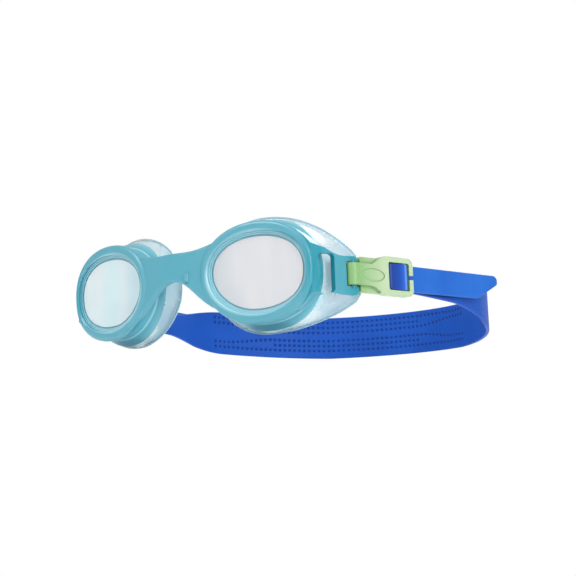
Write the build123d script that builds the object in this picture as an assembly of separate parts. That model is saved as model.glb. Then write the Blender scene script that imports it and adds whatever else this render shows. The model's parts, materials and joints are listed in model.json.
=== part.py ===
"""Swim goggles: one moulded frame, two lenses, two face gaskets, two strap clips and a strap.

Millimetres. The model is laid out with its origin between the lens centres, +X to the wearer's
left, the lenses facing -Y, the strap running back to +Y and +Z up. It is written out standing on
z = 0, centred on X and Y. Everything is drawn on the wearer's left and mirrored to the right.
"""
import os
from math import cos, pi, radians, sin

from build123d import *

# ---- Rims and cups ----
LENS_X = 32.9  # lens centre, from the middle of the bridge
RIM_TILT = 9.8  # the rim turns back towards the temple, degrees
RIM_W, RIM_H = 20.9, 17.4  # half width and half height of the rim's outer edge
MOUTH_W, MOUTH_H = 18.9, 14.0  # the same of the recess in front of the lens
MOUTH_NOSE = 0.8  # the recess is this much narrower on its nose side
CUP_DEPTH = 10.0  # front face of the rim to the rear edge of the frame
CROWN = 1.6  # height of the rounded front of the rim
CROWN_ROUND = 1.25
MOUTH_BEVEL = 0.35
NOSE_LIFT = 1.0  # how far the nose end of the oval is lifted
TEMPLE_FULLNESS = 2.25  # exponent of the rounder temple half; 2 is an ellipse
WAIST, RIDGE = 1.3, 0.3  # how far the wall draws in behind the rim, and at the ridge after it
WAIST_AT, RIDGE_AT = 4.2, 7.0  # how far behind the front of the rim these lie
FLANGE_IN = 0.3  # how much narrower the rear edge is than the rim
FLANGE_GROW = 1.6  # how much taller the rear edge is than the rim
SKIN = 1.8  # wall thickness behind the lens
STEPS = ((0.0, 0.0), (0.6, 0.9), (1.2, 1.4), (1.8, 1.9))  # recess: inset and depth of each step
OVERRUN = 1.0  # how far a cut runs on past the face it opens
OUTLINE_POINTS = 28

# ---- Lenses and gaskets ----
LENS_THICK = 1.7
LENS_FRONT = 1.0  # height of the pane in front of its thinner edge
LENS_STAND = 0.4  # how far the pane stands into the last step of the recess
REAR_LIP = 0.2
LENS_LEDGE = 0.9  # how far the lens's edge reaches into the frame's groove
FIT = 0.05  # clearance between parts that sit still together
GASKET_THICK = 1.6
GASKET_ORIGIN = Vector(26.9, 17.1, 0.9)  # tallest place of the skirt, before it is trimmed
GASKET_TILT = 17.2
GASKET_NOSE, GASKET_TEMPLE = 20.4, 33.4  # reach of the skirt to each side of it
GASKET_H = 20.8
GASKET_LIFT, GASKET_DROP = 0.6, 3.4
GASKET_CUT = 0.3  # how far the hollow runs on past both ends of the skirt
# Plan of the edge that seals on the face: shallow at the nose, deep at the temple.
FACE_LINE = (
    (2.0, 11.3), (10.9, 11.3), (20.9, 11.9), (30.9, 13.6), (40.9, 17.0), (50.9, 22.4), (62.9, 31.0),
)
HEAD_Y = 60.0  # everything between the face line and here is cut off the skirt

# ---- Bridge ----
BRIDGE_HALF = 20.9
BRIDGE_THICK = 2.8
BRIDGE_FRONT, BRIDGE_ENDS = -3.7, -1.5  # front face at its middle and at its ends
BRIDGE_ROUND = 0.8  # along the upper and lower edges of its front and back
RIB = Vector(6.5, -3.25, 0.8)  # small upright rib on its front
RIB_R, RIB_H = 1.0, 3.0
STUD = Vector(9.6, 0.1, 0.3)  # one of the two studs behind it
STUD_R, STUD_H = 1.0, 2.6
BRIDGE_TOP = ((0.0, 9.9), (6.0, 9.8), (11.4, 10.3), (15.4, 11.3), (20.9, 13.0))
BRIDGE_BOTTOM = ((0.0, -0.1), (4.4, -1.2), (8.2, -4.0), (11.4, -6.9), (14.9, -9.6), (20.9, -12.4))

# ---- Arms and hinge ----
PIVOT = Vector(59.5, 19.0, -2.0)  # middle of the bar that a clip hooks on
ARM_ANGLE = 69.5  # the arm runs back from the rim at this angle from +X
ARM_OUTER = ((46.9, 3.6), (52.6, 4.6), (54.9, 10.0), (57.9, 15.0), (60.9, 20.6))
ARM_INNER = ((58.7, 21.4), (55.9, 16.0), (52.9, 11.3), (50.5, 9.3), (46.9, 9.6))
ARM_TOP = ((-19.0, 16.0), (-14.5, 13.2), (-11.2, 9.3), (-8.2, 7.4), (-5.5, 6.3), (-3.0, 6.0))
ARM_BOTTOM = ((-3.0, -7.1), (-6.4, -7.1), (-9.6, -7.6), (-12.7, -9.5), (-16.3, -12.3), (-19.5, -16.0))
# Seen from the front the arm stays inside these curves, so its root lies along the cup's flank.
ROOT_TOP = ((43.9, 15.5), (47.9, 12.6), (50.4, 10.4), (52.4, 8.2), (54.4, 6.8), (57.4, 6.2), (61.9, 5.0))
ROOT_BOTTOM = (
    (61.9, -9.1), (58.4, -9.1), (55.9, -8.4), (53.9, -8.0), (51.9, -9.0), (49.9, -11.2), (47.4, -13.2),
    (43.9, -15.8),
)
LUG_END, LUG_CORNER = 1.7, 1.2
ARM_WINDOW = (-13.0, -7.0, -6.3, 6.8)  # from, to, lowest, highest
WINDOW_CORNER = 1.5
PIN_R = 1.05
PIN_PLAY = 0.08
SLOT_FROM = -2.75  # the hook passes between here and the bar
SLOT_H = 4.2

# ---- Strap clips ----
CLIP_ANGLE = 78.5  # direction of the clip and of the strap's end, degrees from +X
CLIP_END = 28.0
CLIP_RISE = 0.3  # middle of the strap above the middle of the hinge bar
HOOK_R = 2.35
HOOK_TIP = -70.0  # where the hook ends, degrees round the bar
NECK_H, BASE_H, RING_H = 3.7, 6.0, 6.65  # half heights of the clip's three parts
WIDEN_FROM, WIDEN_TO = 5.8, 14.7  # where the neck grows to the ring's height
RING_CORNER = 2.6
BASE_FROM, BASE_TO = 2.3, 15.2
BASE_CORNER = 1.0
SHOULDER_FROM = 10.0  # from here the base has the plate's outline
SOLID_FROM = 11.0  # nearer the hinge than this, the base only lies behind the plate
CLIP_INNER = -0.6  # inner face, from the hinge axis
WINDOW_FROM, WINDOW_TO, WINDOW_H = 15.4, 26.0, 4.8
BAR_FROM, BAR_TO, BAR_MIDDLE, BAR_HALF = 17.4, 23.0, 0.1, 0.55
CLIP_WINDOW_CORNER = 0.7
END_BAR_INNER = 0.55
END_OVERRUN = 1.0
END_GAP = 1.5
THUMB = (7.5, 0.0, 5.8, 2.2, 0.35)  # thumb hollow: place, half length, half height, depth

# ---- Strap ----
STRAP_THICK = 1.4
STRAP_H, BAND_H = 4.6, 9.4  # half width at the clips and behind the head
TAIL_T, STRAND_T = -0.25, -1.85  # middles of the two layers where they leave the clip
LAYERS_FROM = 30.0
TAIL_END_FROM, TAIL_TO, TAIL_CUT = 64.0, 79.3, 12.5
WIDEST = Vector(69.2, 92.0, 0)
REAR_Y = 158.0
SIDE_HANDLE, REAR_HANDLE = 8.3, 50.8  # how long the curve runs straight at each end
BAND_FROM = 0.56  # share of the strand where the wide band takes over from the arm
WIDEN_FROM_Y, WIDEN_TO_Y = 74.0, 108.0
LEVEL_FROM_Y = 148.0  # behind here the strap's edges run level
REAR_DROP = 7.0  # the strap's middle is this much lower behind the head
BAND_POINTS = 9

UP = Vector(0, 0, 1)


def turned_plane(origin, angle, depth=0.0):
    """Upright plane that runs out at `angle` from +X, `depth` behind `origin`, facing outwards."""
    c, s = cos(radians(angle)), sin(radians(angle))
    return Plane(origin=origin + Vector(-s, c, 0) * depth, x_dir=(c, s, 0), z_dir=(s, -c, 0))


def clip_section(height=CLIP_RISE):
    """Level plane at a height on the hinge: x runs along the clip, y outwards."""
    c, s = cos(radians(CLIP_ANGLE)), sin(radians(CLIP_ANGLE))
    return Plane(origin=PIVOT + UP * height, x_dir=(c, s, 0), z_dir=(0, 0, -1))


def outline(nose_w, temple_w, half_h, fullness, lift, drop):
    """Closed oval: an ellipse towards the nose, a fuller one towards the temple."""
    points = []
    for k in range(OUTLINE_POINTS):
        c, s = cos(2 * pi * k / OUTLINE_POINTS), sin(2 * pi * k / OUTLINE_POINTS)
        power = 2 / fullness if c > 0 else 1.0
        u = abs(c) ** power * (temple_w if c > 0 else -nose_w)
        v = abs(s) ** power * (half_h if s > 0 else -half_h)
        v += -drop * c * c if c > 0 else lift * c * c
        points.append((u, v))
    return Face(Wire([Spline(*points, periodic=True)]))


def rim_face(depth, inset, inset_h, nose=0.0):
    """Face with the rim's shape, smaller by the insets, `depth` behind the front of the rim."""
    half_w, half_h = RIM_W - inset, RIM_H - inset_h
    shape = outline(half_w - nose, half_w, half_h, TEMPLE_FULLNESS, NOSE_LIFT, 0)
    return turned_plane(Vector(LENS_X, 0, 0), RIM_TILT, depth) * shape


def mouth_face(depth, inset):
    """Face with the shape of the recess in front of the lens, `inset` smaller."""
    return rim_face(depth, RIM_W - MOUTH_W + inset, RIM_H - MOUTH_H + inset, MOUTH_NOSE)


def mouth_slab(inset, start, end):
    """Slab with the shape of the recess in front of the lens, between two depths."""
    return extrude(mouth_face(start, inset), start - end)


def crown():
    """Front of the rim as a full disc with a rounded outer edge."""
    disc = extrude(rim_face(0, 0, 0), -CROWN)
    forward = Axis((0, 0, 0), turned_plane(Vector(0, 0, 0), RIM_TILT).z_dir)
    return fillet(disc.edges().group_by(forward)[-1], CROWN_ROUND)


def cup_blank():
    """Outside of one eye cup, as a full solid: rounded rim and flared wall."""
    wall = loft(
        [
            rim_face(CROWN, 0, 0),
            rim_face(WAIST_AT, WAIST, WAIST),
            rim_face(RIDGE_AT, RIDGE, RIDGE),
            rim_face(CUP_DEPTH, FLANGE_IN, -FLANGE_GROW),
        ]
    )
    return wall + crown()


def cup_hollows():
    """Space inside one eye cup: bevelled mouth, stepped recess, lens groove and the room behind."""
    bevel = MOUTH_BEVEL
    hollows = [loft([mouth_face(-bevel, -2 * bevel), mouth_face(bevel, 0)])]
    hollows.append(mouth_slab(0, -CUP_DEPTH, STEPS[1][1]))
    for (inset, start), (_, end) in zip(STEPS[1:], STEPS[2:]):
        hollows.append(mouth_slab(inset, start, end))
    inset, start = STEPS[-1]
    rear = start + LENS_THICK + 2 * FIT
    hollows.append(mouth_slab(inset, start, start + LENS_FRONT))
    hollows.append(mouth_slab(inset - LENS_LEDGE - FIT, start + LENS_FRONT, rear))
    mouth = mouth_face(rear, inset - REAR_LIP)
    hollows.append(loft([mouth, rim_face(CUP_DEPTH + OVERRUN, SKIN, SKIN - FLANGE_GROW)]))
    return hollows


def lens():
    """Clear pane with a thinner edge that sits in the frame's groove."""
    inset, start = STEPS[-1]
    rear = start + LENS_THICK + FIT
    pane = mouth_slab(inset + FIT, start - LENS_STAND, rear)
    return pane + mouth_slab(inset - LENS_LEDGE, start + LENS_FRONT + FIT, rear)


def gasket():
    """Soft skirt from the frame's rear edge out to the edge that seals on the face."""
    skins = []
    for inset in (0, GASKET_THICK):
        edge = outline(
            GASKET_NOSE - inset, GASKET_TEMPLE - 2 * inset, GASKET_H - inset,
            2, GASKET_LIFT, GASKET_DROP,
        )
        beyond = GASKET_CUT if inset else 0.0
        first = rim_face(CUP_DEPTH + FIT - beyond, FLANGE_IN + inset, inset - FLANGE_GROW)
        last = turned_plane(GASKET_ORIGIN, GASKET_TILT, beyond) * edge
        skins.append(loft([first, last]))
    start, end = FACE_LINE[0], FACE_LINE[-1]
    corners = (end[0], HEAD_Y), (start[0], HEAD_Y)
    behind = make_face([Spline(*FACE_LINE), Polyline(end, *corners, start)])
    return skins[0] - skins[1] - extrude(behind, 2 * GASKET_H, both=True)


def mirrored_outline(top, bottom):
    """Face between a top and a bottom curve that are the same on both sides of x = 0."""
    def both(points):
        return [(-x, y) for x, y in reversed(points[1:])] + list(points)

    upper, lower = both(top), both(bottom)
    sides = [Line(upper[0], lower[0]), Line(upper[-1], lower[-1])]
    return make_face([Spline(*upper), Spline(*lower), *sides])


def bridge():
    """Curved band between the rims, with a moulded rib and two small studs."""
    ends = BRIDGE_ENDS + BRIDGE_THICK
    plan = make_face(
        [
            ThreePointArc((-BRIDGE_HALF, BRIDGE_ENDS), (0, BRIDGE_FRONT), (BRIDGE_HALF, BRIDGE_ENDS)),
            ThreePointArc((-BRIDGE_HALF, ends), (0, BRIDGE_FRONT + BRIDGE_THICK), (BRIDGE_HALF, ends)),
            Line((-BRIDGE_HALF, BRIDGE_ENDS), (-BRIDGE_HALF, ends)),
            Line((BRIDGE_HALF, BRIDGE_ENDS), (BRIDGE_HALF, ends)),
        ]
    )
    face = mirrored_outline(BRIDGE_TOP, BRIDGE_BOTTOM)
    band = extrude(plan, 2 * RIM_H, both=True) & extrude(Plane.XZ * face, 2 * RIM_H, both=True)
    long_edges = band.edges().filter_by(lambda edge: edge.length > BRIDGE_HALF)
    band = fillet(long_edges, BRIDGE_ROUND)
    stud = Pos(*STUD) * Cylinder(STUD_R, STUD_H)
    return band + Pos(*RIB) * Cylinder(RIB_R, RIB_H) + stud + mirror(stud, about=Plane.YZ)


def arm():
    """Windowed arm from the rim's temple side to the two lugs that hold the hinge bar."""
    top, bottom = ARM_TOP[-1][1], ARM_BOTTOM[0][1]
    lugs = [
        (LUG_END - LUG_CORNER, top), (LUG_END, top - LUG_CORNER),
        (LUG_END, bottom + LUG_CORNER), (LUG_END - LUG_CORNER, bottom),
    ]
    face = make_face(
        [
            Spline(*ARM_TOP),
            Polyline(ARM_TOP[-1], *lugs, ARM_BOTTOM[0]),
            Spline(*ARM_BOTTOM),
            Line(ARM_BOTTOM[-1], ARM_TOP[0]),
        ]
    )
    front = make_face(
        [
            Spline(*ROOT_TOP),
            Line(ROOT_TOP[-1], ROOT_BOTTOM[0]),
            Spline(*ROOT_BOTTOM),
            Line(ROOT_BOTTOM[-1], ROOT_TOP[0]),
        ]
    )
    start, end, low, high = ARM_WINDOW
    window = RectangleRounded(end - start, high - low, WINDOW_CORNER)
    window = Pos((start + end) / 2, (low + high) / 2) * window
    slot = Pos(SLOT_FROM / 2 + LUG_END, 0) * Rectangle(2 * LUG_END - SLOT_FROM, 2 * SLOT_H)
    upright = turned_plane(PIVOT, ARM_ANGLE)
    blank = extrude(upright * (face - window - slot), RIM_W, both=True)
    plan = make_face(
        [
            Line(ARM_OUTER[0], ARM_OUTER[1]),
            Spline(*ARM_OUTER[1:]),
            Line(ARM_OUTER[-1], ARM_INNER[0]),
            Spline(*ARM_INNER),
            Line(ARM_INNER[-1], ARM_OUTER[0]),
        ]
    )
    plate = extrude(plan, RIM_W, both=True) & blank & extrude(Plane.XZ * front, 2 * RIM_W, both=True)
    return plate + Pos(*PIVOT) * Cylinder(PIN_R, 2 * SLOT_H + PIN_R)


def frame():
    """The one moulded piece: both cups, the bridge and both arms."""
    half = cup_blank() + arm()
    body = half + bridge() + mirror(half, about=Plane.YZ)
    for hollow in cup_hollows():
        body = body - hollow - mirror(hollow, about=Plane.YZ)
    return body


def clip_outline():
    """Outline of the clip's outer plate: a narrow neck that widens into the strap's ring."""
    top, bottom = CLIP_RISE + RING_H, CLIP_RISE - RING_H
    corner = RING_CORNER
    widen_from, widen_to = WIDEN_FROM, WIDEN_TO
    level = ((1, 0), (1, 0))
    neck = [
        Line((0, -NECK_H), (0, NECK_H)),
        Line((0, NECK_H), (widen_from, NECK_H)),
        Spline((widen_from, NECK_H), (widen_to, top), tangents=level),
        Line((0, -NECK_H), (widen_from, -NECK_H)),
        Spline((widen_from, -NECK_H), (widen_to, bottom), tangents=level),
    ]
    ring = [
        Line((widen_to, top), (CLIP_END - corner, top)),
        TangentArc((CLIP_END - corner, top), (CLIP_END, top - corner), tangent=(1, 0)),
        Line((CLIP_END, top - corner), (CLIP_END, bottom + corner)),
        TangentArc((CLIP_END - corner, bottom), (CLIP_END, bottom + corner), tangent=(1, 0)),
        Line((widen_to, bottom), (CLIP_END - corner, bottom)),
    ]
    return make_face(neck + ring)


def hook():
    """C-shaped hook round the hinge bar, open towards the inside."""
    mouth_x, mouth_y = 2 * HOOK_R * cos(radians(HOOK_TIP)), 2 * HOOK_R * sin(radians(HOOK_TIP))
    far = 2 * HOOK_R
    mouth = make_face(Polyline((0, 0), (mouth_x, mouth_y), (far, mouth_y), (far, far), (0, far), close=True))
    section = Circle(HOOK_R) - Circle(PIN_R + PIN_PLAY) - mouth
    return extrude(clip_section(0) * section, NECK_H, both=True)


def stretch(start, end):
    """Tall face that covers a stretch of the clip's length."""
    return Pos((start + end) / 2, 0) * Rectangle(end - start, 4 * RING_H)


def clip():
    """Strap clip: hook, neck, thumb hollow, base layer, strap bar and split end bar."""
    shape = clip_outline()
    outer = turned_plane(PIVOT, CLIP_ANGLE, -HOOK_R)
    whole, skin = CLIP_INNER - HOOK_R, PIN_R + PIN_PLAY - HOOK_R
    plate = extrude(outer * (shape & stretch(0, BASE_TO)), skin)
    base = RectangleRounded(BASE_TO - BASE_FROM, 2 * BASE_H, BASE_CORNER)
    base = Pos((BASE_FROM + BASE_TO) / 2, 0) * base
    base = extrude(outer * (base + (shape & stretch(SHOULDER_FROM, BASE_TO))), whole)
    base -= extrude(outer * stretch(0, SOLID_FROM), skin)
    window = RectangleRounded(WINDOW_TO - WINDOW_FROM, 2 * WINDOW_H, CLIP_WINDOW_CORNER)
    window = Pos((WINDOW_FROM + WINDOW_TO) / 2, CLIP_RISE) * window
    ring = extrude(outer * ((shape & stretch(BASE_TO, CLIP_END)) - window), whole)

    section = clip_section()
    end_bar = stretch(WINDOW_TO - END_OVERRUN, CLIP_END + END_OVERRUN)
    under = end_bar & Pos(WINDOW_TO, END_BAR_INNER - RING_H) * Rectangle(RING_H, 2 * RING_H)
    ring -= extrude(section * under, WINDOW_H, both=True)
    ring -= extrude(section * end_bar, END_GAP / 2, both=True)
    bar = RectangleRounded(BAR_TO - BAR_FROM, 2 * BAR_HALF, BAR_HALF * 0.98)
    bar = Pos((BAR_FROM + BAR_TO) / 2, BAR_MIDDLE) * bar
    bar = extrude(section * bar, WINDOW_H + END_OVERRUN, both=True)

    along, up, half_l, half_h, depth = THUMB
    thumb = extrude(outer * Pos(along, up) * Ellipse(half_l, half_h), -depth)
    return hook() + plate + base + ring + bar - thumb


def swept_strap(path, half_h):
    """Flat strap on edge along a path drawn on a level plane of the clip."""
    face = Plane(origin=path @ 0, x_dir=UP, z_dir=path % 0) * Rectangle(2 * half_h, STRAP_THICK)
    return sweep(face, path=path)


def strap_wrap():
    """The strap's turn round the clip's bar, from its free layer to its inner layer."""
    reach = BAR_HALF + 0.1 + STRAP_THICK / 2
    turn_s = BAR_FROM + BAR_HALF
    outer_t, inner_t = BAR_MIDDLE + reach, BAR_MIDDLE - reach
    out = FilletPolyline(
        (LAYERS_FROM, TAIL_T), (WINDOW_TO - 0.4, TAIL_T), (WINDOW_TO - 1.6, outer_t), (turn_s, outer_t),
        radius=1.2,
    )
    turn = ThreePointArc((turn_s, outer_t), (turn_s - reach, BAR_MIDDLE), (turn_s, inner_t))
    back = FilletPolyline(
        (turn_s, inner_t), (BAR_FROM + 2, inner_t), (LAYERS_FROM - 4.5, STRAND_T), (LAYERS_FROM, STRAND_T),
        radius=8,
    )
    return swept_strap(clip_section() * Wire([*out.edges(), turn, *back.edges()]), STRAP_H)


def tail_parts():
    """The strap's free end: the stretch behind the clip, and its cut and rounded tip."""
    face = turned_plane(PIVOT + UP * CLIP_RISE, CLIP_ANGLE, -TAIL_T - STRAP_THICK / 2)
    length = TAIL_END_FROM - LAYERS_FROM
    tail = Pos(LAYERS_FROM + length / 2, 0) * Rectangle(length, 2 * STRAP_H)
    corners = [
        (TAIL_END_FROM, STRAP_H), (TAIL_END_FROM, -STRAP_H), (TAIL_TO - TAIL_CUT, -STRAP_H),
        (TAIL_TO + 1.2, 1.6), (TAIL_TO - 0.8, STRAP_H),
    ]
    tip = make_face(Polyline(*corners, close=True))
    tip = fillet(tip.vertices().sort_by(Axis.X)[-2:], 1.6)
    return extrude(face * tail, -STRAP_THICK), extrude(face * tip, -STRAP_THICK)


def strand_path():
    """Plan curve of the strap's inner layer, from the clip to the middle of the back."""
    section = clip_section(-PIVOT.Z)
    start = section.from_local_coords(Vector(LAYERS_FROM, STRAND_T, 0))
    side = TangentArc(start, WIDEST, tangent=section.x_dir)
    rear = Vector(0, REAR_Y, 0)
    handles = (WIDEST + (side % 1) * SIDE_HANDLE, rear + Vector(REAR_HANDLE, 0, 0))
    return Wire([side, Bezier(WIDEST, *handles, rear)])


def ribbon(path, stations, both_sides):
    """Face as thick as the strap along part of a plan curve, or of it and its mirror image."""
    edges = []
    for side in (-0.5, 0.5):
        points = []
        for share in stations:
            way = path % share
            normal = Vector(way.Y, -way.X, 0)
            points.append(path @ share + normal * side * STRAP_THICK)
        if both_sides:
            points += [Vector(-p.X, p.Y, 0) for p in reversed(points[:-1])]
        edges.append(points)
    inner, outer = edges
    ends = [Line(inner[0], outer[0]), Line(inner[-1], outer[-1])]
    return make_face([Spline(*inner), Spline(*outer), *ends])


def side_outline():
    """Outline of the strap seen from the side: narrow at the clip, wide and lower at the back."""
    top = PIVOT.Z + CLIP_RISE
    start_y = LAYERS_FROM + PIVOT.Y
    slope = -REAR_DROP / (LEVEL_FROM_Y - start_y)

    def edge(sign):
        def point(y, half):
            return (y, top + slope * min(max(0.0, y - start_y), LEVEL_FROM_Y - start_y) + sign * half)

        widening = (point(WIDEN_FROM_Y, STRAP_H), point(WIDEN_TO_Y, BAND_H))
        return [
            Line(point(LAYERS_FROM, STRAP_H), point(start_y, STRAP_H)),
            Line(point(start_y, STRAP_H), widening[0]),
            Spline(*widening, tangents=((1, slope), (1, slope))),
            Line(widening[1], point(LEVEL_FROM_Y, BAND_H)),
            Line(point(LEVEL_FROM_Y, BAND_H), point(REAR_Y + 5, BAND_H)),
        ]

    upper, lower = edge(1), edge(-1)
    ends = [Line(upper[0] @ 0, lower[0] @ 0), Line(upper[-1] @ 1, lower[-1] @ 1)]
    return make_face(upper + lower + ends)


def strand_parts():
    """The strap's side arm, and the wide band behind the head."""
    path = strand_path()
    sides = extrude(Plane.YZ * side_outline(), 2 * WIDEST.X, both=True)
    along = [BAND_FROM * k / BAND_POINTS for k in range(BAND_POINTS + 1)]
    behind = [BAND_FROM + (1 - BAND_FROM) * k / BAND_POINTS for k in range(BAND_POINTS + 1)]
    solids = []
    for stations, both_sides in ((along, False), (behind, True)):
        tall = extrude(ribbon(path, stations, both_sides), 3 * RIM_H, both=True)
        solids.append(tall & sides)
    return solids


def build():
    """All parts by name, in the layout frame."""
    tail, tip = tail_parts()
    side_arm, band = strand_parts()
    sided = {
        "lens": lens(),
        "gasket": gasket(),
        "clip": clip(),
        "strap_wrap": strap_wrap(),
        "strap_arm": side_arm,
        "strap_tail": tail,
        "strap_tip": tip,
    }
    parts = {
        "frame": frame(),
        "strap_rear_band": band,
    }
    for name, shape in sided.items():
        parts["left_" + name] = shape
        parts["right_" + name] = mirror(shape, about=Plane.YZ)
    return parts


def main():
    parts = build()
    boxes = [shape.bounding_box() for shape in parts.values()]
    low = [min(getattr(b.min, a) for b in boxes) for a in "XYZ"]
    high = [max(getattr(b.max, a) for b in boxes) for a in "XYZ"]
    shift = Pos(-(low[0] + high[0]) / 2, -(low[1] + high[1]) / 2, -low[2])
    os.makedirs("parts", exist_ok=True)
    for name, shape in parts.items():
        export_step(shift * shape, f"parts/{name}.step")
    print("shift to the written frame", shift.position, "size", [h - l for l, h in zip(low, high)])


main()
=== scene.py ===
"""Looks of the swim goggles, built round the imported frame.

The frame, the lenses and the two clips are the CAD parts with better materials. The gaskets and
the strap are soft, so they are rebuilt here as smooth meshes. Positions are given in the CAD
layout's millimetres (origin between the lens centres) and moved to the row frame by world().
"""
import json
from math import atan2, cos, pi, radians, sin

import bpy
import numpy as np
from mathutils import Matrix, Vector

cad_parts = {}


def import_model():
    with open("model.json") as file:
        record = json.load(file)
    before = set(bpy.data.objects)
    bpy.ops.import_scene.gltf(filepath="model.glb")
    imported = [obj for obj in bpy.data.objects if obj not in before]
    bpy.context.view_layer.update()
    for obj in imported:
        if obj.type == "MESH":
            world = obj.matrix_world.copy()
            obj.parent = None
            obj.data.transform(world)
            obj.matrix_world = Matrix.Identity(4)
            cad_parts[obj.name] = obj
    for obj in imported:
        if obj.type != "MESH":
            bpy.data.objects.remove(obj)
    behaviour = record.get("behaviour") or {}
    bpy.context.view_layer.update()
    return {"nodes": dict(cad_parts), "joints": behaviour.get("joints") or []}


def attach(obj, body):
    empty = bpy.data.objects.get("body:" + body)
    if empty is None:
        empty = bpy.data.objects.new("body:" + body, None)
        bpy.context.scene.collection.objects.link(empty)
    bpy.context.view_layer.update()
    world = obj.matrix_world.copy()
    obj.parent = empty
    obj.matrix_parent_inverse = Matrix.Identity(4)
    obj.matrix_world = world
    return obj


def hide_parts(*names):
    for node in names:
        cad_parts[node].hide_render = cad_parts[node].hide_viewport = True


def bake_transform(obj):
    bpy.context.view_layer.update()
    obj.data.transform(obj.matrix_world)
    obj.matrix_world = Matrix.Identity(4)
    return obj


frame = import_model()

# ---- CAD layout, millimetres ----
PIVOT = np.array((59.5, 19.0, -2.0))
HINGE = next(j for j in frame["joints"] if j["name"] == "left_clip_hinge")
ORIGIN = np.array(HINGE["pos_m"]) * 1000 - PIVOT

# Rims and cups: half widths, half heights and depth, in a plane tilted back towards the temple
LENS_X, RIM_TILT, RIM_W, RIM_H = 32.9, 9.8, 20.9, 17.4
# Half widths of the oval that bounds the recess's painted light
RECESS_W, RECESS_H = 19.4, 15.0  # a little outside the mouth's edge
CUP_DEPTH, NOSE_LIFT, TEMPLE_FULLNESS, FLANGE_GROW = 10.0, 1.0, 2.25, 1.6

# Gaskets: rear outline in its own tilted plane, and the plan curve where it meets the face
GASKET_ORIGIN, GASKET_TILT = (26.9, 17.1, 0.9), 17.2
GASKET_NOSE, GASKET_TEMPLE, GASKET_H = 20.4, 33.4, 20.8
GASKET_LIFT, GASKET_DROP = 0.6, 3.4
GASKET_WALL, GASKET_LIP = 1.25, 0.75
FACE_X = (2.0, 10.9, 20.9, 30.9, 40.9, 50.9, 62.9)
FACE_Y = (11.3, 11.3, 11.9, 13.6, 17.0, 22.4, 31.0)

# Clips: distances along the clip from its hinge, and outwards from its middle
CLIP_ANGLE, CLIP_RISE = 78.5, 0.3
WINDOW_TO, BAR_FROM, BAR_TO, BAR_MIDDLE, BAR_HALF = 26.0, 17.4, 23.0, 0.1, 0.55
TAIL_T, STRAND_T = -0.25, -1.85
LAYERS_FROM, TAIL_END_FROM, TAIL_TO, TAIL_CUT = 30.0, 64.0, 79.3, 12.5

# Strap: thickness, half widths, and its plan curve from the clip to the back
THICK, STRAP_H, BAND_H = 1.4, 4.6, 9.4
WIDEST, REAR_Y, SIDE_HANDLE, REAR_HANDLE = (69.2, 92.0), 158.0, 8.3, 50.8
WIDEN_FROM_Y, WIDEN_TO_Y, LEVEL_FROM_Y, REAR_DROP = 74.0, 108.0, 148.0, 7.0
SEAM_Y = 80.0  # where the two halves of each strap arm meet
BAND_REACH = 70.0  # how far the band behind the head runs to each side of its middle
SPARE = 0.02  # gap that keeps neighbouring strap pieces from sharing a face
TURN_PLAY = 0.12  # between the clip's bar and the strap round it

SIDES = (("left", 1), ("right", -1))
WHITE, BLACK = [1, 1, 1, 1], [0, 0, 0, 1]


def world(points, side=1):
    """Layout millimetres, on the left or mirrored to the right, to metres in the row frame."""
    points = np.array(points, float).reshape(-1, 3) * (side, 1, 1)
    return (points + ORIGIN) * 0.001


def srgb(red, green, blue):
    """8-bit display colour to linear RGBA."""
    shares = [c / 255 for c in (red, green, blue)]
    return [c / 12.92 if c <= 0.04045 else ((c + 0.055) / 1.055) ** 2.4 for c in shares] + [1.0]


# ---- Mesh helpers ----
def loop_mesh(name, rings, side=1, closed=False, materials=(), strips=None):
    """Skin over equal closed loops of points: a tube with flat ends, or a torus if closed."""
    rings = np.array(rings, float)
    count, around = rings.shape[:2]
    faces, groups = [], []
    for k in range(count if closed else count - 1):
        a, b = k * around, (k + 1) % count * around
        for m in range(around):
            n = (m + 1) % around
            faces.append((a + m, a + n, b + n, b + m))
            groups.append(0 if strips is None else strips[m])
    if not closed:
        faces.append(tuple(range(around))[::-1])
        faces.append(tuple((count - 1) * around + m for m in range(around)))
        groups += [0, 0]
    if side < 0:
        faces = [face[::-1] for face in faces]
    mesh = bpy.data.meshes.new(name)
    mesh.from_pydata(world(rings, side).tolist(), [], faces)
    mesh.polygons.foreach_set("use_smooth", [len(face) == 4 for face in faces])
    mesh.polygons.foreach_set("material_index", groups)
    for material in materials:
        mesh.materials.append(material)
    mesh.update()
    if not closed:
        for edge in mesh.edges:
            rows = {corner // around for corner in edge.vertices}
            edge.use_edge_sharp = rows in ({0}, {count - 1})
    piece = bpy.data.objects.new(name, mesh)
    bpy.context.scene.collection.objects.link(piece)
    return piece


def resample(points, spacing):
    """The same line with even steps."""
    points = np.array(points, float)
    run = np.concatenate([[0], np.cumsum(np.linalg.norm(np.diff(points, axis=0), axis=1))])
    want = np.linspace(0, run[-1], max(2, int(round(run[-1] / spacing)) + 1))
    return np.stack([np.interp(want, run, column) for column in points.T], 1)


def rounded_line(points, rounds=4):
    """Corner cutting: a smooth line that keeps both ends."""
    points = np.array(points, float)
    for _ in range(rounds):
        near = points[:-1] * 0.75 + points[1:] * 0.25
        far = points[:-1] * 0.25 + points[1:] * 0.75
        middle = np.stack([near, far], 1).reshape(-1, points.shape[1])
        points = np.concatenate([points[:1], middle[1:-1], points[-1:]])
    return points


def smooth_step(low, high, value):
    """0 up to low, 1 from high, and smooth between them."""
    share = np.clip((value - low) / (high - low), 0, 1)
    return share * share * (3 - 2 * share)


# ---- Strap ----
ALONG = np.array((cos(radians(CLIP_ANGLE)), sin(radians(CLIP_ANGLE))))
OUT = np.array((ALONG[1], -ALONG[0]))


def clip_point(s, t):
    """Plan point at a distance along the clip and outwards from the hinge's middle."""
    return PIVOT[:2] + s * ALONG + t * OUT


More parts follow.
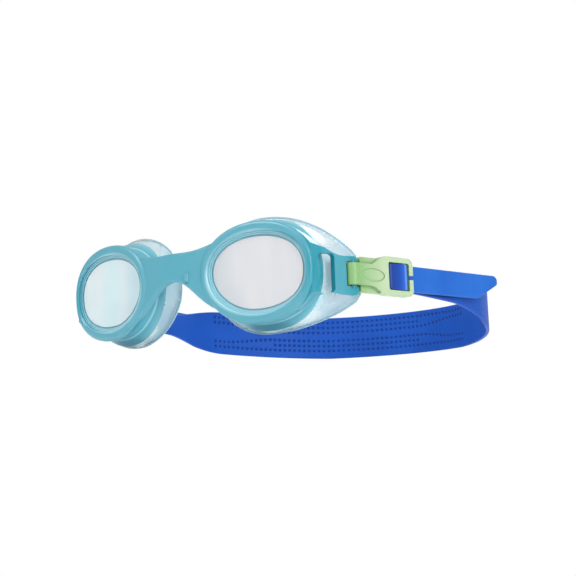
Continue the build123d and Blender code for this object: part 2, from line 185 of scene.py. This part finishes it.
def strand_line():
    """Plan line of the strap's inner layer, from the clip to the middle of the back."""
    start, widest = clip_point(LAYERS_FROM, STRAND_T), np.array(WIDEST)
    inward = np.array((-ALONG[1], ALONG[0]))
    chord = widest - start
    turn = 2 * atan2(chord @ inward, chord @ ALONG)
    radius = chord @ chord / (2 * (chord @ inward))
    arc = [start + radius * (sin(a) * ALONG + (1 - cos(a)) * inward) for a in np.linspace(0, turn, 120)]
    leave = cos(turn) * ALONG + sin(turn) * inward
    rear = np.array((0, REAR_Y))
    knots = widest, widest + leave * SIDE_HANDLE, rear + (REAR_HANDLE, 0), rear
    curve = []
    for u in np.linspace(0, 1, 400)[1:]:
        weights = ((1 - u) ** 3, 3 * u * (1 - u) ** 2, 3 * u * u * (1 - u), u**3)
        curve.append(sum(w * k for w, k in zip(weights, knots)))
    return resample(arc + curve, 0.25)


def middle_height(y):
    """Height of the strap's middle."""
    start = LAYERS_FROM + PIVOT[1]
    return PIVOT[2] + CLIP_RISE - REAR_DROP * np.clip((y - start) / (LEVEL_FROM_Y - start), 0, 1)


def half_width(y):
    """Half the strap's width: narrow at the clips, wide behind the head."""
    return STRAP_H + (BAND_H - STRAP_H) * smooth_step(WIDEN_FROM_Y, WIDEN_TO_Y, y)


def strap_profile(inner_steps, corner_steps=4, rounding=0.4):
    """Closed section as (share of half width, corner offset, outward offset): inner face first."""
    half = THICK / 2
    section = [(u, 0.0, -half) for u in np.linspace(-1, 1, inner_steps)]
    turn = np.linspace(0, pi / 2, corner_steps + 1)
    section += [(1, rounding * sin(a), -half + rounding * (1 - cos(a))) for a in turn[1:]]
    section += [(1, rounding * cos(a), half - rounding * (1 - sin(a))) for a in turn]
    section += [(u, 0.0, half) for u in np.linspace(1, -1, 7)[1:]]
    section += [(-1, -rounding * sin(a), half - rounding * (1 - cos(a))) for a in turn[1:]]
    section += [(-1, -rounding * cos(a), -half + rounding * (1 - sin(a))) for a in turn[:-1]]
    return np.array(section), rounding


DIMPLE_PITCH, DIMPLE_R, DIMPLE_DEPTH = 2.3, 0.84, 0.55
DIMPLE_ROWS, DIMPLE_LIFT = (1.9, 4.2, 6.5), 0.5  # rows above and below a line at this height
DIMPLE_MIDDLE = -27.0  # the strap sits this far round, so its pattern is off the middle of the back
FULL_COLUMNS, SIDE_COLUMNS = 15, 13  # on each side of the middle one: of six dimples, then of four
DIMPLE_STEPS = 70  # points across the strap, close enough to draw a dimple


def dimple_centres():
    """Dimples as (distance from the middle of the back, height above the strap's middle)."""
    centres = []
    for column in range(-FULL_COLUMNS - SIDE_COLUMNS, FULL_COLUMNS + SIDE_COLUMNS + 1):
        beyond = abs(column) - FULL_COLUMNS
        inner, middle, outer = DIMPLE_ROWS
        rows = [inner, middle, outer]
        if beyond > 0:
            drift = smooth_step(0, SIDE_COLUMNS - 2, beyond)
            rows = [inner + (middle - inner) * float(drift), outer]
        along = DIMPLE_MIDDLE + column * DIMPLE_PITCH
        for row in rows:
            centres += [(along, DIMPLE_LIFT + row), (along, DIMPLE_LIFT - row)]
    return np.array(centres)


DIMPLES = dimple_centres()


def dimple_depth(along, heights):
    """How deep the inner face is sunk at points of it."""
    depth = np.zeros(len(heights))
    for a, h in DIMPLES[np.abs(DIMPLES[:, 0] - along) < DIMPLE_R]:
        away = ((along - a) ** 2 + (heights - h) ** 2) / DIMPLE_R**2
        depth = np.maximum(depth, DIMPLE_DEPTH * np.clip(1 - away, 0, 1) ** 1.5)
    return depth


def strap_rings(line, middles, halves, profile, dimples_from=None):
    """Sections of the strap along a plan line. dimples_from gives each point's place on the band."""
    section, rounding = profile
    way = np.gradient(line, axis=0)
    way /= np.linalg.norm(way, axis=1)[:, None]
    rings = []
    for k, point in enumerate(line):
        out = np.array((way[k, 1], -way[k, 0]))
        heights = section[:, 0] * (halves[k] - rounding) + section[:, 1]
        offsets = section[:, 2].copy()
        if dimples_from is not None:
            inner = section[:, 2] < -THICK / 2 + 1e-6
            offsets[inner] += dimple_depth(dimples_from[k], heights[inner])
        ring = np.empty((len(section), 3))
        ring[:, :2] = point + offsets[:, None] * out
        ring[:, 2] = middles[k] + heights
        rings.append(ring)
    return rings


def strap_piece(name, side, line, materials, inner_steps=9, heights=None, dimples_from=None):
    """A stretch of strap along a plan line."""
    line = np.array(line)
    middles, halves = heights or (middle_height(line[:, 1]), half_width(line[:, 1]))
    rings = strap_rings(line, middles, halves, strap_profile(inner_steps), dimples_from)
    return loop_mesh(name, rings, side, materials=materials)


STRAND = strand_line()
STRAND_STEP = np.linalg.norm(STRAND[1] - STRAND[0])
TO_MIDDLE = np.arange(len(STRAND))[::-1] * STRAND_STEP  # from each point to the middle of the back
SEAM = int(np.argmin(np.abs(STRAND[:, 1] - SEAM_Y)))
BAND_EDGE = int(np.argmax(TO_MIDDLE <= BAND_REACH))


def rear_band(name, materials):
    """The wide band behind the head, with rows of dimples on its inner face."""
    half_line, places = STRAND[BAND_EDGE:], TO_MIDDLE[BAND_EDGE:]
    line = np.concatenate([half_line, half_line[-2::-1] * (-1, 1)])
    along = np.concatenate([places, -places[-2::-1]])
    middles, halves = middle_height(line[:, 1]), half_width(line[:, 1])
    rings = strap_rings(line, middles, halves, strap_profile(DIMPLE_STEPS), along)
    return loop_mesh(name, rings, materials=materials)


def wrap_line():
    """Plan line of the strap's turn round the clip's bar, in clip coordinates."""
    reach = BAR_HALF + TURN_PLAY + THICK / 2
    turn_s = BAR_FROM + BAR_HALF
    outer_t, inner_t = BAR_MIDDLE + reach, BAR_MIDDLE - reach
    out = [
        (LAYERS_FROM - SPARE, TAIL_T), (WINDOW_TO + 1.2, TAIL_T), (WINDOW_TO + 0.1, TAIL_T),
        (WINDOW_TO - 0.6, TAIL_T + 1.2), (WINDOW_TO - 1.6, outer_t + 0.35), (BAR_TO - 1.5, outer_t + 0.25),
        (turn_s + 0.6, outer_t), (turn_s, outer_t - 0.1),
    ]
    half_circle = np.linspace(pi / 2, 3 * pi / 2, 24)
    turn = [(turn_s + reach * cos(a), BAR_MIDDLE + reach * sin(a)) for a in half_circle]
    back = [
        (turn_s, inner_t), (turn_s + 3, inner_t), (LAYERS_FROM - 5, STRAND_T),
        (LAYERS_FROM - 3, STRAND_T), (LAYERS_FROM - SPARE, STRAND_T),
    ]
    line = np.concatenate([rounded_line(out)[:-1], turn, rounded_line(back)[1:]])
    return np.array([clip_point(s, t) for s, t in resample(line, 0.3)])


def quarter_round(s, radius):
    """0 until a radius before the strap's tip, then up to 1 along a quarter circle."""
    share = np.clip((s - (TAIL_TO - radius)) / radius, 0, 1)
    return 1 - np.sqrt(max(0.0, 1 - share**2))


def tip_rings():
    """Sections of the strap's free end, cut at a slant and rounded."""
    section, rounding = strap_profile(5)
    stations = np.concatenate([np.linspace(0, 0.8, 14), 1 - 0.2 * np.linspace(1, 0, 18)[1:] ** 2])
    cut_rise, cut_past = STRAP_H + 1.9, TAIL_CUT + 1.2  # the slanted cut would end past the tip
    top_round, nose_round = 2.6, 1.1
    rings = []
    for share in stations:
        s = TAIL_END_FROM + SPARE + share * (TAIL_TO - TAIL_END_FROM - SPARE)
        low = -STRAP_H + max(0.0, s - (TAIL_TO - TAIL_CUT)) / cut_past * cut_rise
        high = STRAP_H - top_round * quarter_round(s, top_round)
        low += (high - low) * 0.45 * quarter_round(s, nose_round)
        middle, half = (high + low) / 2, max((high - low) / 2, 0.3)
        thin = 1 - 0.55 * np.clip((s - (TAIL_TO - nose_round)) / nose_round, 0, 1) ** 3
        edge = min(rounding, half * 0.6)
        heights = middle + section[:, 0] * (half - edge) + section[:, 1] * edge / rounding
        ring = np.empty((len(section), 3))
        ring[:, :2] = clip_point(s, TAIL_T) + (section[:, 2] * thin)[:, None] * OUT
        ring[:, 2] = PIVOT[2] + CLIP_RISE + heights
        rings.append(ring)
    return rings


# ---- Gaskets ----
AROUND = 160  # points round a gasket


def oval(nose_w, temple_w, half_h, fullness, lift, drop):
    """The CAD outline's points: an ellipse towards the nose, a fuller one towards the temple."""
    points = []
    for angle in np.linspace(0, 2 * pi, AROUND, endpoint=False):
        c, s = cos(angle), sin(angle)
        power = 2 / fullness if c > 0 else 1.0
        u = abs(c) ** power * (temple_w if c > 0 else -nose_w)
        v = abs(s) ** power * (half_h if s > 0 else -half_h)
        v += -drop * c * c if c > 0 else lift * c * c
        points.append((u, v))
    return np.array(points)


def on_plane(points, origin, tilt, depth=0.0):
    """Outline points placed in an upright plane that is tilted back towards the temple."""
    c, s = cos(radians(tilt)), sin(radians(tilt))
    u, v = points.T
    return np.stack([origin[0] + u * c - depth * s, origin[1] + u * s + depth * c, origin[2] + v], 1)


def face_curve(x):
    """Plan curve of the sealing edge, rounded where its straight runs meet."""
    reach = np.linspace(-4, 4, 9)
    return np.mean([np.interp(x + r, FACE_X, FACE_Y) for r in reach], 0)


def gasket_edges():
    """Front ring at the frame's rear edge and rear ring on the face curve."""
    front = on_plane(
        oval(RIM_W - 0.3, RIM_W - 0.3, RIM_H + FLANGE_GROW, TEMPLE_FULLNESS, NOSE_LIFT, 0),
        (LENS_X, 0, 0), RIM_TILT, CUP_DEPTH + 0.05,
    )
    far = on_plane(
        oval(GASKET_NOSE, GASKET_TEMPLE, GASKET_H, 2, GASKET_LIFT, GASKET_DROP), GASKET_ORIGIN, GASKET_TILT
    )
    shares = np.ones(AROUND)
    for k in range(AROUND):
        low, high = 0.0, 1.0
        if far[k, 1] > face_curve(far[k, 0]):
            for _ in range(30):
                middle = (low + high) / 2
                point = front[k] + middle * (far[k] - front[k])
                low, high = (middle, high) if point[1] < face_curve(point[0]) else (low, middle)
            shares[k] = high
    return front, front + shares[:, None] * (far - front)


def gasket(name, side, materials):
    """Soft skirt with a hollow flank, a rolled lip and an even wall."""
    front, rear = gasket_edges()
    centre = (front.mean(0) + rear.mean(0)) / 2
    outward = rear - centre
    outward[:, 1] = 0
    outward /= np.linalg.norm(outward, axis=1)[:, None]
    back = np.array((0, 1, 0))
    # Each entry: share of the way back, offset outwards, offset backwards, material.
    profile = []
    for share in (0.0, 0.04, 0.12, 0.25, 0.4, 0.55, 0.7, 0.82, 0.9):
        profile.append((share, 0.15 * share - 0.5 * sin(pi * share), 0.0, 0))
    for a in np.linspace(-0.7, 3.4, 11):
        profile.append((1.0, GASKET_LIP * (0.35 + cos(a)) - 0.6, GASKET_LIP * (sin(a) - 1.0), 1))
    for share in (0.88, 0.75, 0.6, 0.45, 0.3, 0.15, 0.0):
        profile.append((share, -GASKET_WALL - 0.35 * sin(pi * share), 0.0, 0))
    rings = []
    for share, out, behind, _ in profile:
        rings.append(front + share * (rear - front) + out * outward + behind * back)
    rings = np.array(rings).transpose(1, 0, 2)[::-1]
    strips = [entry[3] for entry in profile]
    return loop_mesh(name, rings, side, closed=True, materials=materials, strips=strips)


# ---- Materials ----
def new_material(name):
    """A material with its node tree's parts, ready to fill in."""
    material = bpy.data.materials.new(name)
    material.use_nodes = True
    nodes, links = material.node_tree.nodes, material.node_tree.links
    shader = nodes["Principled BSDF"]
    return material, nodes, links, shader


def noise(nodes, links, scale, detail=3.0, stretch=(1, 1, 1)):
    """Noise in object coordinates."""
    place = nodes.new("ShaderNodeTexCoord")
    mapping = nodes.new("ShaderNodeMapping")
    mapping.inputs["Scale"].default_value = stretch
    texture = nodes.new("ShaderNodeTexNoise")
    texture.inputs["Scale"].default_value = scale
    texture.inputs["Detail"].default_value = detail
    links.new(place.outputs["Object"], mapping.inputs["Vector"])
    links.new(mapping.outputs["Vector"], texture.inputs["Vector"])
    return texture.outputs["Fac"]


def ramp(nodes, links, value, *stops):
    """Colours placed along a value."""
    node = nodes.new("ShaderNodeValToRGB")
    elements = node.color_ramp.elements
    while len(elements) < len(stops):
        elements.new(0.5)
    for element, (place, colour) in zip(elements, stops):
        element.position = place
        element.color = colour
    links.new(value, node.inputs["Fac"])
    return node.outputs["Color"]


def length_ramp(nodes, links, value, reach, *stops):
    """Colours placed along a length: value, reach and stops are in millimetres."""
    shares = [(place / reach, colour) for place, colour in stops]
    return ramp(nodes, links, sum_of(nodes, links, (value, 1 / reach)), *shares)


def grey(level):
    """A plain value as a ramp's colour."""
    return [level, level, level, 1]


def bump(nodes, links, shader, value, strength, distance, edge=0.0):
    """Fine relief, over edges rounded by `edge` metres."""
    node = nodes.new("ShaderNodeBump")
    node.inputs["Strength"].default_value = strength
    node.inputs["Distance"].default_value = distance
    links.new(value, node.inputs["Height"])
    if edge:
        bevel = nodes.new("ShaderNodeBevel")
        bevel.samples = 6
        bevel.inputs["Radius"].default_value = edge
        links.new(bevel.outputs["Normal"], node.inputs["Normal"])
    links.new(node.outputs["Normal"], shader.inputs["Normal"])


def painted_crevice_shade(nodes, links, distance):
    """1 in the open, less in grooves and corners: ambient occlusion used for painted shade."""
    node = nodes.new("ShaderNodeAmbientOcclusion")
    node.samples = 8
    node.inputs["Distance"].default_value = distance
    return node.outputs["AO"]


def sum_of(nodes, links, *terms, start=0.0):
    """A starting number plus values, each times its factor."""
    total = None
    for value, factor in terms:
        node = nodes.new("ShaderNodeMath")
        node.operation = "MULTIPLY_ADD"
        links.new(value, node.inputs[0])
        node.inputs[1].default_value = factor
        node.inputs[2].default_value = start
        if total is not None:
            links.new(total, node.inputs[2])
        total = node.outputs["Value"]
    return total


def mixed(nodes, links, mode, share, first, second):
    """Two colours mixed; share is a value or a plain number."""
    node = nodes.new("ShaderNodeMix")
    node.data_type, node.blend_type = "RGBA", mode
    if isinstance(share, float):
        node.inputs["Factor"].default_value = share
    else:
        links.new(share, node.inputs["Factor"])
    for socket, colour in ((node.inputs[6], first), (node.inputs[7], second)):
        if isinstance(colour, list):
            socket.default_value = colour
        else:
            links.new(colour, socket)
    return node.outputs[2]


def squared(nodes, links, value):
    """A value times itself."""
    node = nodes.new("ShaderNodeMath")
    node.operation = "POWER"
    links.new(value, node.inputs[0])
    node.inputs[1].default_value = 2.0
    return node.outputs["Value"]


def layout_axes(nodes, links):
    """Distance to the side of the middle, back, and up, in the CAD layout's millimetres."""
    place = nodes.new("ShaderNodeTexCoord")
    split = nodes.new("ShaderNodeSeparateXYZ")
    links.new(place.outputs["Object"], split.inputs["Vector"])
    aside = nodes.new("ShaderNodeMath")
    aside.operation = "ABSOLUTE"
    links.new(split.outputs["X"], aside.inputs[0])
    return (
        sum_of(nodes, links, (aside.outputs["Value"], 1000.0)),
        sum_of(nodes, links, (split.outputs["Y"], 1000.0), start=-ORIGIN[1]),
        sum_of(nodes, links, (split.outputs["Z"], 1000.0), start=-ORIGIN[2]),
    )


def cup_colours_and_painted_light(nodes, links):
    """Colours down the depth of the cups, with painted light: a dark line for the groove's shade, a
    highlight on the ridge, paler towards the rear edge and pale in the recess in front of the lens.
    """
    aside, back, height = layout_axes(nodes, links)
    c, s = cos(radians(RIM_TILT)), sin(radians(RIM_TILT))
    depth = sum_of(nodes, links, (aside, -s), (back, c), start=LENS_X * s)
    # Painted light on the flank: a dark line at 3.6 mm for the groove's shade, a painted highlight at 6.6
    # mm on the ridge, and paler towards the rear edge.
    flank = length_ramp(
        nodes, links, depth, CUP_DEPTH,
        (0.0, srgb(90, 164, 181)), (2.6, srgb(80, 163, 182)), (3.6, srgb(44, 138, 164)),
        (4.8, srgb(84, 170, 188)), (6.2, srgb(88, 172, 189)), (6.6, srgb(168, 212, 222)),
        (7.2, srgb(80, 168, 186)), (CUP_DEPTH, srgb(130, 192, 205)),
    )
    across = sum_of(
        nodes, links, (aside, c / RECESS_W), (back, s / RECESS_W), start=-LENS_X * c / RECESS_W
    )
    upwards = sum_of(nodes, links, (height, 1 / RECESS_H))
    squares = squared(nodes, links, across), squared(nodes, links, upwards)
    inside = sum_of(nodes, links, (squares[0], 1.0), (squares[1], 1.0))
    # Painted light: the recess in front of the lens is lifted to a pale aqua.
    recess = ramp(nodes, links, inside, (0.87, WHITE), (0.99, BLACK))
    return mixed(nodes, links, "MIX", recess, flank, srgb(158, 206, 217))


def frame_material():
    """Clear aqua moulding, deeper in the arms, with painted light: pale in the recess and at the cups'
    thin rear edge, and painted shade in grooves and corners.
    """
    material, nodes, links, shader = new_material("aqua_moulding")
    aside, _, _ = layout_axes(nodes, links)
    arms = length_ramp(nodes, links, aside, 100.0, (48.5, BLACK), (53.5, WHITE))
    colour = mixed(nodes, links, "MIX", arms, cup_colours_and_painted_light(nodes, links), srgb(28, 148, 166))
    # Painted shade: ambient occlusion darkens grooves and corners of the moulding.
    shade = ramp(nodes, links, painted_crevice_shade(nodes, links, 0.003), (0.3, srgb(180, 222, 232)), (0.85, WHITE))
    links.new(mixed(nodes, links, "MULTIPLY", 1.0, colour, shade), shader.inputs["Base Color"])
    cloud = noise(nodes, links, 130.0)
    links.new(ramp(nodes, links, cloud, (0.3, grey(0.3)), (0.7, grey(0.42))), shader.inputs["Roughness"])
    shader.inputs["Transmission Weight"].default_value = 0.1
    shader.inputs["Subsurface Weight"].default_value = 0.4
    shader.inputs["Subsurface Radius"].default_value = (0.001, 0.003, 0.003)
    shader.inputs["IOR"].default_value = 1.45
    shader.inputs["Coat Weight"].default_value = 0.35
    shader.inputs["Coat Roughness"].default_value = 0.25
    return material


def lens_material(name, low, high):
    """Clear pane with a milky coating that hides most of what lies behind it, cooler near the nose."""
    material, nodes, links, shader = new_material(name)
    cloud = ramp(nodes, links, noise(nodes, links, 60.0, 1.0, (1.5, 1, 0.3)), (0.35, low), (0.65, high))
    aside, _, _ = layout_axes(nodes, links)
    towards_nose = length_ramp(nodes, links, aside, 100.0, (15.0, srgb(231, 238, 242)), (30.0, WHITE))
    links.new(mixed(nodes, links, "MULTIPLY", 1.0, cloud, towards_nose), shader.inputs["Base Color"])
    shader.inputs["Roughness"].default_value = 0.16
    shader.inputs["Transmission Weight"].default_value = 0.25
    shader.inputs["IOR"].default_value = 1.35
    return material


def gasket_material(name, front, rear, transmission, roughness):
    """Clear soft silicone that takes some of the frame's colour where it joins it; the skirt's front
    colour is also lifted there as painted light.
    """
    material, nodes, links, shader = new_material(name)
    aside, back, _ = layout_axes(nodes, links)
    along = sum_of(nodes, links, (back, 1.0), (aside, -1 / 6))
    colour = length_ramp(nodes, links, along, 20.0, (4.0, front), (10.0, rear))
    links.new(colour, shader.inputs["Base Color"])
    shader.inputs["Transmission Weight"].default_value = transmission
    shader.inputs["IOR"].default_value = 1.3
    cloud = noise(nodes, links, 90.0)
    low, high = grey(roughness - 0.05), grey(roughness + 0.07)
    links.new(ramp(nodes, links, cloud, (0.3, low), (0.7, high)), shader.inputs["Roughness"])
    return material


def clip_material():
    """Pale green moulding, with painted shade towards the hinge, where the neck lies behind the gasket,
    and in grooves and corners.
    """
    material, nodes, links, shader = new_material("green_moulding")
    _, back, _ = layout_axes(nodes, links)
    # Painted shade: darker towards the hinge, where the neck lies behind the gasket.
    hinge, base = PIVOT[1], PIVOT[1] + 12.0
    along = length_ramp(
        nodes, links, back, 100.0, (hinge, srgb(128, 172, 112)), (base, srgb(176, 198, 160))
    )
    # Painted shade: ambient occlusion darkens grooves and corners.
    shade = ramp(nodes, links, painted_crevice_shade(nodes, links, 0.003), (0.3, srgb(180, 205, 165)), (0.9, WHITE))
    links.new(mixed(nodes, links, "MULTIPLY", 1.0, along, shade), shader.inputs["Base Color"])
    shader.inputs["Roughness"].default_value = 0.38
    shader.inputs["Subsurface Weight"].default_value = 0.25
    shader.inputs["Subsurface Radius"].default_value = (0.002, 0.003, 0.0015)
    bump(nodes, links, shader, noise(nodes, links, 1200.0), 0.08, 0.0002, edge=0.0004)
    return material


def strap_material(name, low, high):
    """Blue silicone, with painted shade in its dimples and other hollows."""
    material, nodes, links, shader = new_material(name)
    cloud = ramp(nodes, links, noise(nodes, links, 60.0), (0.3, low), (0.75, high))
    # Painted shade: ambient occlusion darkens the dimples and hollows.
    shade = ramp(nodes, links, painted_crevice_shade(nodes, links, 0.0016), (0.55, srgb(78, 108, 146)), (0.92, WHITE))
    links.new(mixed(nodes, links, "MULTIPLY", 1.0, cloud, shade), shader.inputs["Base Color"])
    shader.inputs["Roughness"].default_value = 0.45
    shader.inputs["Specular IOR Level"].default_value = 0.16
    bump(nodes, links, shader, noise(nodes, links, 2500.0), 0.1, 0.0001)
    return material


def turn_painted_light_material():
    """Strap round the clip's bar, with painted light: painted shade deep in the window at its front, a
    painted highlight where it bulges.
    """
    material, nodes, links, shader = new_material("strap_silicone_turn_painted_light")
    _, back, _ = layout_axes(nodes, links)
    # Painted shade towards the window's front end and a painted highlight at 23.6 mm, where the strap
    # bulges.
    colours = (
        (15.5, srgb(8, 50, 128)), (20.5, srgb(14, 68, 160)), (22.6, srgb(26, 88, 188)),
        (23.6, srgb(92, 142, 216)), (24.8, srgb(24, 84, 182)),
    )
    stops = [(PIVOT[1] + s * ALONG[1], colour) for s, colour in colours]
    links.new(length_ramp(nodes, links, back, 100.0, *stops), shader.inputs["Base Color"])
    shader.inputs["Roughness"].default_value = 0.38
    shader.inputs["Specular IOR Level"].default_value = 0.3
    bump(nodes, links, shader, noise(nodes, links, 2500.0), 0.1, 0.0001)
    return material


def paint(node, material):
    """Give a CAD node one material."""
    for slot in frame["nodes"][node].material_slots:
        slot.material = material


aqua, green = frame_material(), clip_material()
blue = strap_material("strap_silicone", srgb(20, 75, 166), srgb(24, 83, 178))
turn_blue_painted_light = turn_painted_light_material()
# Painted light: the strap's free end uses a lighter copy of the same silicone, where it faces the side
# lamp.
painted_lit_blue = strap_material("strap_silicone_free_end_painted_light", srgb(28, 90, 180), srgb(36, 104, 194))
panes = {
    "left": lens_material("clear_lens", srgb(212, 213, 217), srgb(223, 223, 224)),
    "right": lens_material("aqua_tinted_lens", srgb(212, 233, 237), srgb(231, 235, 237)),
}
# Painted light: the skirt's front colour is lifted against the shade it lies in behind the arm's window;
# its aqua cast is the frame's colour.
skirt = gasket_material("gasket_silicone", srgb(202, 232, 239), srgb(204, 222, 231), 0.5, 0.3)
lip = gasket_material("gasket_lip", srgb(120, 188, 204), srgb(150, 200, 212), 0.35, 0.25)

paint("frame", aqua)
for label, _ in SIDES:
    paint(label + "_lens", panes[label])
    paint(label + "_clip", green)

# ---- Soft pieces ----
for label, side in SIDES:
    clip_body, tail_body = label + "_clip", label + "_tail"

    piece = gasket(label + "_face_gasket", side, [skirt, lip])
    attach(piece, "frame")
    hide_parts(label + "_gasket")

    turn = wrap_line()
    level = np.full(len(turn), PIVOT[2] + CLIP_RISE), np.full(len(turn), STRAP_H)
    piece = strap_piece(label + "_strap_turn", side, turn, [turn_blue_painted_light], heights=level)
    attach(piece, clip_body)
    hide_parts(label + "_strap_wrap")

    tail = [clip_point(s, TAIL_T) for s in np.linspace(LAYERS_FROM, TAIL_END_FROM, 36)]
    level = np.full(len(tail), PIVOT[2] + CLIP_RISE), np.full(len(tail), STRAP_H)
    piece = strap_piece(label + "_strap_free_layer", side, tail, [painted_lit_blue], heights=level)
    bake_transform(piece)
    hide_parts(label + "_strap_tail")

    piece = loop_mesh(label + "_strap_end", tip_rings(), side, materials=[painted_lit_blue])
    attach(piece, tail_body)
    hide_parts(label + "_strap_tip")

    front = strap_piece(label + "_strap_side_front", side, STRAND[: SEAM + 1 : 2], [blue])
    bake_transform(front)
    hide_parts(label + "_strap_arm")

    stretch = slice(SEAM, BAND_EDGE + 1)
    away = side * TO_MIDDLE[stretch]
    rear = strap_piece(
        label + "_strap_side_rear", side, STRAND[stretch], [blue], DIMPLE_STEPS, dimples_from=away
    )
    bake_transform(rear)

band = rear_band("strap_head_band", [blue])
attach(band, "rear_band")
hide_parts("strap_rear_band")


# ---- Camera ----
def make_camera():
    """Low, from the front, to the wearer's left of the middle."""
    place = world((266.037, -318.648, -58.960))[0]
    right = Vector((0.81937, 0.57188, -0.03976))
    up = Vector((0.10874, -0.08696, 0.99026))
    turn = Matrix((right, up, right.cross(up))).transposed()
    data = bpy.data.cameras.new("camera")
    data.lens, data.sensor_width = 75.10, 36.0
    data.clip_start, data.clip_end = 0.01, 20.0
    camera = bpy.data.objects.new("camera", data)
    camera.matrix_world = Matrix.Translation(place) @ turn.to_4x4()
    bpy.context.scene.collection.objects.link(camera)
    bpy.context.scene.camera = camera


# ---- Studio ----
def make_floor():
    """Pale floor that fades out, and shows from above only: the camera stands below its level."""
    mesh = bpy.data.meshes.new("floor")
    reach = 0.5
    corners = [(-reach, -reach, 0), (reach, -reach, 0), (reach, reach, 0), (-reach, reach, 0)]
    mesh.from_pydata(corners, [], [(0, 1, 2, 3)])
    floor = bpy.data.objects.new("floor", mesh)
    bpy.context.scene.collection.objects.link(floor)
    material, nodes, links, shader = new_material("pale_floor")
    shader.inputs["Base Color"].default_value = (0.88, 0.88, 0.88, 1)
    shader.inputs["Roughness"].default_value = 0.8
    shader.inputs["Emission Color"].default_value = WHITE
    shader.inputs["Emission Strength"].default_value = 0.3
    place = nodes.new("ShaderNodeTexCoord")
    away = nodes.new("ShaderNodeVectorMath")
    away.operation = "LENGTH"
    links.new(place.outputs["Object"], away.inputs[0])
    faded = ramp(nodes, links, away.outputs["Value"], (0.2, BLACK), (0.45, WHITE))
    surface = nodes.new("ShaderNodeNewGeometry")
    hidden = nodes.new("ShaderNodeMath")
    hidden.operation = "MAXIMUM"
    links.new(surface.outputs["Backfacing"], hidden.inputs[0])
    links.new(faded, hidden.inputs[1])
    clear = nodes.new("ShaderNodeBsdfTransparent")
    mix = nodes.new("ShaderNodeMixShader")
    links.new(hidden.outputs["Value"], mix.inputs["Fac"])
    links.new(shader.outputs["BSDF"], mix.inputs[1])
    links.new(clear.outputs["BSDF"], mix.inputs[2])
    links.new(mix.outputs["Shader"], nodes["Material Output"].inputs["Surface"])
    mesh.materials.append(material)


def make_light(name, place, target, size, power):
    """Rectangular light aimed at a point, all in metres."""
    data = bpy.data.lights.new(name, "AREA")
    data.shape, data.size, data.size_y, data.energy = "RECTANGLE", *size, power
    light = bpy.data.objects.new(name, data)
    aim = (Vector(target) - Vector(place)).to_track_quat("-Z", "Y")
    light.matrix_world = Matrix.Translation(place) @ aim.to_matrix().to_4x4()
    bpy.context.scene.collection.objects.link(light)


def make_world():
    """White surround for the camera and for what is seen through clear parts, softer as light."""
    surround = bpy.data.worlds.new("studio")
    surround.use_nodes = True
    bpy.context.scene.world = surround
    nodes, links = surround.node_tree.nodes, surround.node_tree.links
    glow = nodes["Background"]
    glow.inputs["Color"].default_value = WHITE
    glow.inputs["Strength"].default_value = 0.52
    white = nodes.new("ShaderNodeBackground")
    white.inputs["Color"].default_value = WHITE
    ray = nodes.new("ShaderNodeLightPath")
    either = nodes.new("ShaderNodeMath")
    either.operation = "MAXIMUM"
    mix = nodes.new("ShaderNodeMixShader")
    links.new(ray.outputs["Is Camera Ray"], either.inputs[0])
    links.new(ray.outputs["Is Transmission Ray"], either.inputs[1])
    links.new(either.outputs["Value"], mix.inputs["Fac"])
    links.new(glow.outputs["Background"], mix.inputs[1])
    links.new(white.outputs["Background"], mix.inputs[2])
    links.new(mix.outputs["Shader"], nodes["World Output"].inputs["Surface"])


make_camera()
make_floor()
make_world()
make_light("key", (-0.25, -0.75, 0.85), (0, 0, 0), (0.5, 0.5), 6.5)
make_light("side", (0.9, -0.35, 0.35), (0, 0, 0), (0.3, 0.8), 5.5)
make_light("back", (0.1, 0.9, 0.7), (0, 0, 0), (0.8, 0.4), 4.5)
bpy.context.scene.view_settings.view_transform = "Standard"
